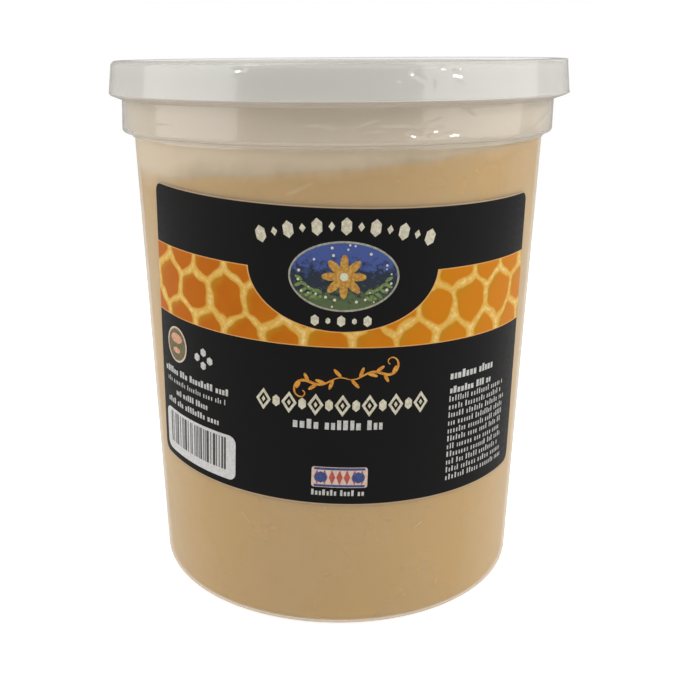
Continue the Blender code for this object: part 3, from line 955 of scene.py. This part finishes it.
# turn from the front, height, half length, half width (mm), slant and depth of each crease
creases = [
    (6.9, 124.0, 2.4, 0.4, 0.31, 0.18), (13.1, 123.3, 3.8, 0.4, -0.02, 0.16),
    (19.7, 123.5, 4.0, 0.45, 0.35, 0.12), (9.5, 122.3, 3.0, 0.35, 0.05, 0.12),
    (-4.9, 123.6, 2.4, 0.35, 0.0, 0.16), (-3.4, 122.9, 4.4, 0.4, 0.03, 0.14),
    (-18.9, 127.2, 0.7, 0.6, 0.02, 0.16), (31.0, 125.6, 3.0, 0.8, -0.5, 0.12),
    (19.5, 132.2, 0.9, 2.0, 0.0, 0.12), (60.0, 122.6, 7.0, 0.6, 0.25, 0.14),
    (48.0, 127.4, 1.2, 0.4, 0.0, 0.16), (-48.0, 122.6, 7.0, 0.35, 0.05, 0.12),
    (128.0, 122.0, 8.0, 0.4, 0.08, 0.15), (171.0, 132.8, 3.0, 0.6, 0.5, 0.2),
    (-110.0, 122.8, 8.0, 0.4, -0.07, 0.15), (-152.0, 121.9, 9.0, 0.35, 0.05, 0.15),
]


def clearShrinkFilm():  # clear PVC drawn tight: see-through, with a hard gloss, faint haze, and painted shade that darkens its edges
    look = {"haze": 0.1, "edgeHaze": 0.62, "white": "#F1EFEA", "rimShadeTone": "#9A9387", "gloss": 0.11,
            "facing": 0.04, "edge": 0.09, "rimPower": 4.0, "glossPower": 5.0}
    material, tree, shader = newMaterial("clearShrinkFilm", {"Roughness": 0.4, "IOR": 1.5})
    onPiece = addNode(tree, "TexCoord").outputs["Object"]
    ripple = addNode(tree, "TexNoise", {"Scale": 260.0, "Detail": 3.0}, {"Vector": onPiece})
    bump = addNode(tree, "Bump", {"Strength": 0.25, "Distance": 0.04 * mm}, {"Height": ripple})
    edge = addNode(tree, "LayerWeight", {"Blend": 0.5}, {"Normal": bump})
    # painted shade: where the film is seen edge-on its colour turns darker grey and more opaque, greying
    # its outline
    rim = addNode(tree, "Math", {"operation": "POWER", 1: look["rimPower"]}, {0: edge.outputs["Facing"]})
    tone = addNode(tree, "Mix", {**colourMix, 6: hexColour(look["white"]),
                   7: hexColour(look["rimShadeTone"])}, {0: rim})
    tree.links.new(tone.outputs[2], shader.inputs["Base Color"])
    haze = addNode(tree, "MapRange", {"To Min": look["haze"], "To Max": look["edgeHaze"]}, {0: rim})
    clear = addNode(tree, "BsdfTransparent")
    hazy = addNode(tree, "MixShader", {}, {"Fac": haze, 1: clear, 2: shader})
    shine = addNode(tree, "BsdfAnisotropic", {"Roughness": look["gloss"]}, {"Normal": bump})
    steep = addNode(tree, "Math", {"operation": "POWER", 1: look["glossPower"]},
                    {0: edge.outputs["Facing"]})
    grazing = addNode(tree, "MapRange", {"To Min": look["facing"], "To Max": look["edge"]}, {0: steep})
    mixed = addNode(tree, "MixShader", {}, {"Fac": grazing, 1: hazy, 2: shine})
    tree.links.new(mixed.outputs["Shader"], tree.nodes["Material Output"].inputs["Surface"])
    return material


def creaseDepth(turn, height):
    depth = 0.0
    for at, z, length, width, slant, deep in creases:
        along = math.radians(turn - at) * film["round"]
        across = height / mm - z - along * slant
        depth += deep * math.exp(-(along / length) ** 2 - (across / width) ** 2)
    return depth * mm


# turn, height, half length, half height (mm), slant, and how far the flat bit tilts up and sideways
facets = [
    (25.6, 133.9, 1.8, 0.9, -0.4, 0.33, -0.105), (24.2, 135.4, 3.4, 0.6, 0.03, 0.33, -0.065),
    (15.2, 134.3, 1.1, 0.7, 0.3, 0.32, 0.11), (17.6, 132.9, 1.0, 0.8, -0.4, 0.32, 0.08),
    (12.4, 133.0, 1.0, 0.7, 0.0, 0.32, 0.15), (27.2, 121.4, 2.2, 0.7, 0.04, 0.49, -0.138),
    (22.4, 122.4, 1.4, 0.7, 0.15, 0.48, -0.05), (17.0, 121.5, 1.4, 0.7, -0.2, 0.48, 0.06),
    (-21.0, 135.1, 1.7, 0.7, 0.07, 0.3, 0.065),
]


def facetRise(turn, height):  # flat bits between folds, tilted enough to glint
    rise = 0.0
    for at, z, length, tall, slant, up, aside in facets:
        along = math.radians(turn - at) * film["round"]
        across = height / mm - z
        window = math.exp(-(along / length) ** 8 - ((across - along * slant) / tall) ** 8)
        rise -= window * (up * across + aside * along)
    return rise * mm


def filmPath():
    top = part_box("shrink_band")[1].z - 0.05 * mm
    corner = film["corner"]
    path = [(film["inner"], top)]
    path += arc(film["topRadius"] - film["edge"], top - film["edge"], film["edge"], 90, 0, 6)
    path += [(film["skirt"], film["skirtLow"]), (film["skirt"] - 0.5 * mm, film["skirtLow"] - 0.5 * mm),
             (film["shoulder"], film["shoulderTop"])]
    path += arc(film["shoulder"] - corner, film["under"] + corner, corner, 0, -90, 8)
    path += [(film["foot"] + film["footBend"], film["under"]),
             (film["foot"], film["under"] - film["footBend"]),
             (film["foot"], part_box("shrink_band")[0].z + 0.05 * mm)]
    fine = [path[0]]
    for (r0, z0), (r1, z1) in zip(path, path[1:]):
        count = max(1, round(math.hypot(r1 - r0, z1 - z0) / film["row"]))
        fine += [(r0 + (r1 - r0) * i / count, z0 + (z1 - z0) * i / count) for i in range(1, count + 1)]
    return fine


def makeFilm():
    path = filmPath()
    top, low = path[0][1], film["skirtLow"]
    piece = turnPath(path, film["steps"])
    for vertex in piece.data.vertices:
        x, y, z = vertex.co
        radius = math.hypot(x, y)
        turn = math.degrees(math.atan2(x, -y))
        left = (1 - x / radius) / 2
        onLid = min(1.0, max(0.0, (z - low) / (2 * mm) + 1))
        out, up = radius + film["edge"] - film["topRadius"], z + film["edge"] - top
        square = 0.0
        if out > 0 and up > 0:
            square = film["square"] * (1 - left) * (film["edge"] / max(out, up) - 1)
        slack = noise.noise(Vector((x, y, z)) * 150) * film["fine"] + creaseDepth(turn, z) - film["in"]
        slack += film["pulledIn"] * left * onLid + film["tighter"] * (1 - left) * (1 - onLid)
        slack -= facetRise(turn, z)
        if film["under"] < z < film["shoulderTop"] and radius > film["shoulder"] - film["corner"] / 2:
            lower = (film["shoulderTop"] - z) / (film["shoulderTop"] - film["under"])
            slack -= film["belled"] * left * lower
        wider = 1 + (out * square - slack) / radius
        lift = up * square - film["pulledDown"] * left * min(1.0, max(0.0, (z - low) / (top - low)))
        if film["shoulderTop"] - 1 * mm < z < low + 0.1 * mm:
            lift += film["higher"] * (1 - 0.4 * left) * min(1.0, (z - film["shoulderTop"] + 1 * mm) / mm)
        vertex.co = (x * wider, y * wider, z + lift)
    applyModifier(piece, "SOLIDIFY", {"thickness": film["wall"], "offset": -1})
    smooth(piece, 50)
    finishPiece(piece, "shrinkFilm", clearShrinkFilm(), "shrink_band")


# Honey smeared up the inside of the wall over the level it set at
smear = {"low": 106 * mm, "high": 128.7 * mm, "wall": 0.2 * mm, "gap": 0.05 * mm, "tone": "#E6D4A2",
         "lowCover": 0.55, "highCover": 0.2}


def honeySmear():  # a thin uneven coat of set honey
    material, tree, shader = newMaterial("creamedHoneySmear", {
        "Base Color": hexColour(smear["tone"]), "Roughness": 0.4, "IOR": 1.5})
    onPiece = addNode(tree, "TexCoord").outputs["Object"]
    place = addNode(tree, "Mapping", {"Scale": (1.0, 1.0, 3.5)}, {"Vector": onPiece})
    streaks = addNode(tree, "TexNoise", {"Scale": 28.0, "Detail": 3.0, "Roughness": 0.5},
                      {"Vector": place})
    axes = addNode(tree, "SeparateXYZ", {}, {0: onPiece})
    fade = addNode(tree, "MapRange", {**smoothStep, 1: smear["low"], 2: smear["high"],
                   3: smear["lowCover"], 4: smear["highCover"]}, {0: axes.outputs["Z"]})
    streaky = addNode(tree, "MapRange", {**smoothStep, 1: 0.3, 2: 0.7, 3: 0.5, 4: 1.3}, {0: streaks})
    cover = addNode(tree, "Math", {"operation": "MULTIPLY"}, {0: fade, 1: streaky})
    clear = addNode(tree, "BsdfTransparent")
    mixed = addNode(tree, "MixShader", {}, {"Fac": cover, 1: clear, 2: shader})
    tree.links.new(mixed.outputs["Shader"], tree.nodes["Material Output"].inputs["Surface"])
    return material


def makeSmear():
    inside = cup["wall"] + smear["gap"]
    shoulderIn = cup["shoulderRadius"] - inside
    path = [(shoulderIn, smear["high"]), (shoulderIn, cup["shoulderBottom"] + 1.6 * mm),
            (shoulderIn - 0.8 * mm, cup["shoulderBottom"] + cup["wall"] + 0.1 * mm),
            (wallRadius(cup["shoulderBottom"]) - inside, cup["shoulderBottom"] + 0.3 * mm),
            (wallRadius(smear["low"]) - inside, smear["low"])]
    piece = turnPath(path, cup["steps"], smear["wall"])
    smooth(piece)
    finishPiece(piece, "honeySmear", honeySmear())


makeCamera()
makeLights()
makeFloor()
print("stage ready")
makeCup()
makeHoney()
makeSmear()
makeLid()
print("tub ready")
makeLabel()
makeOrnament()
makeFinePrint()
makeBarPanel()
makeMedallion()
makeBadges()
makeVine()
print("label ready")
makeFilm()
print("film ready")
